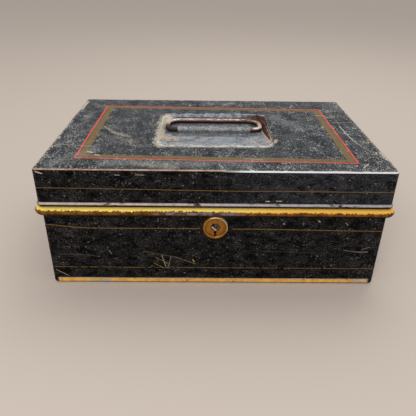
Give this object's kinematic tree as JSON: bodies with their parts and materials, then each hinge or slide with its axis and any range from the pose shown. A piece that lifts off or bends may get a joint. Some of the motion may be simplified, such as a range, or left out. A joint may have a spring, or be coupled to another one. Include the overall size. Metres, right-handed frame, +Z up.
{
  "type": "deed box",
  "caption": "Japanned tin deed box with a wired, hinged lid, a gilt bead, a bail handle sunk in the lid and a lever lock behind a brass drum.",
  "frame": {"origin": "on the table under the middle of the box, the footprint being that of the bead round the body", "axes": "+X to the right along the front, +Y from the front to the back, +Z up"},
  "size_m": [0.3132, 0.2182, 0.1174],
  "materials": {
    "black_japan": "aged black japan on tinned sheet, scuffed, with gilt and red lining",
    "tinplate": "japanned tinplate, dull",
    "iron_wire": "drawn iron wire, dull",
    "worn_iron": "iron wire handle, japan worn through to rusty brown",
    "aged_brass": "aged brass, dull golden brown",
    "lock_steel": "lock steel, dull and lightly oiled"
  },
  "bodies": {
    "box": {"body_front_sheet": "black_japan", "body_back_sheet": "black_japan", "body_bottom": "tinplate", "hinge_straps": "tinplate", "hinge_rivets": "black_japan", "key_drum": "aged_brass", "drum_pins": "aged_brass", "lock_case": "aged_brass", "lock_cap": "aged_brass", "cap_screws": "lock_steel", "lever_post": "lock_steel", "key_pin": "lock_steel", "lever_springs": "lock_steel"},
    "lid": {"lid_shell": "black_japan", "lid_edge_wire": "iron_wire", "handle_pan": "black_japan", "handle_sleeve": "black_japan", "link_plate": "lock_steel"},
    "handle": {"bail_handle": "worn_iron"},
    "barrel": {"lock_barrel": "lock_steel"},
    "bolt": {"lock_bolt": "lock_steel", "bolt_stump": "aged_brass"},
    "first_lever": {"lever_1": "aged_brass"},
    "second_lever": {"lever_2": "aged_brass"},
    "third_lever": {"lever_3": "aged_brass"}
  },
  "joints": [
    {"name": "lid_hinge", "type": "hinge", "parent": "box", "child": "lid", "pos_m": [0, 0.1044, 0.0852], "axis": [-1, 0, 0], "range_deg": [0, 130]},
    {"name": "handle_hinge", "type": "hinge", "parent": "lid", "child": "handle", "pos_m": [0, 0.011, 0.1126], "axis": [1, 0, 0], "range_deg": [0, 172]},
    {"name": "barrel_turn", "type": "hinge", "parent": "box", "child": "barrel", "pos_m": [0, -0.1, 0.063], "axis": [0, 1, 0], "range_deg": [0, 225]},
    {"name": "bolt_throw", "type": "slide", "parent": "box", "child": "bolt", "axis": [1, 0, 0], "range_m": [0, 0.007]},
    {"name": "lever_1_drop", "type": "hinge", "parent": "box", "child": "first_lever", "pos_m": [-0.018, -0.095, 0.07395], "axis": [0, 1, 0], "range_deg": [0, 4]},
    {"name": "lever_2_drop", "type": "hinge", "parent": "box", "child": "second_lever", "pos_m": [-0.018, -0.0935, 0.07395], "axis": [0, 1, 0], "range_deg": [0, 4]},
    {"name": "lever_3_drop", "type": "hinge", "parent": "box", "child": "third_lever", "pos_m": [-0.018, -0.092, 0.07395], "axis": [0, 1, 0], "range_deg": [0, 4]}
  ],
  "couplings": [
    {"joint": "barrel_turn", "follows": "bolt_throw", "rad_per_m": 560.99}
  ]
}
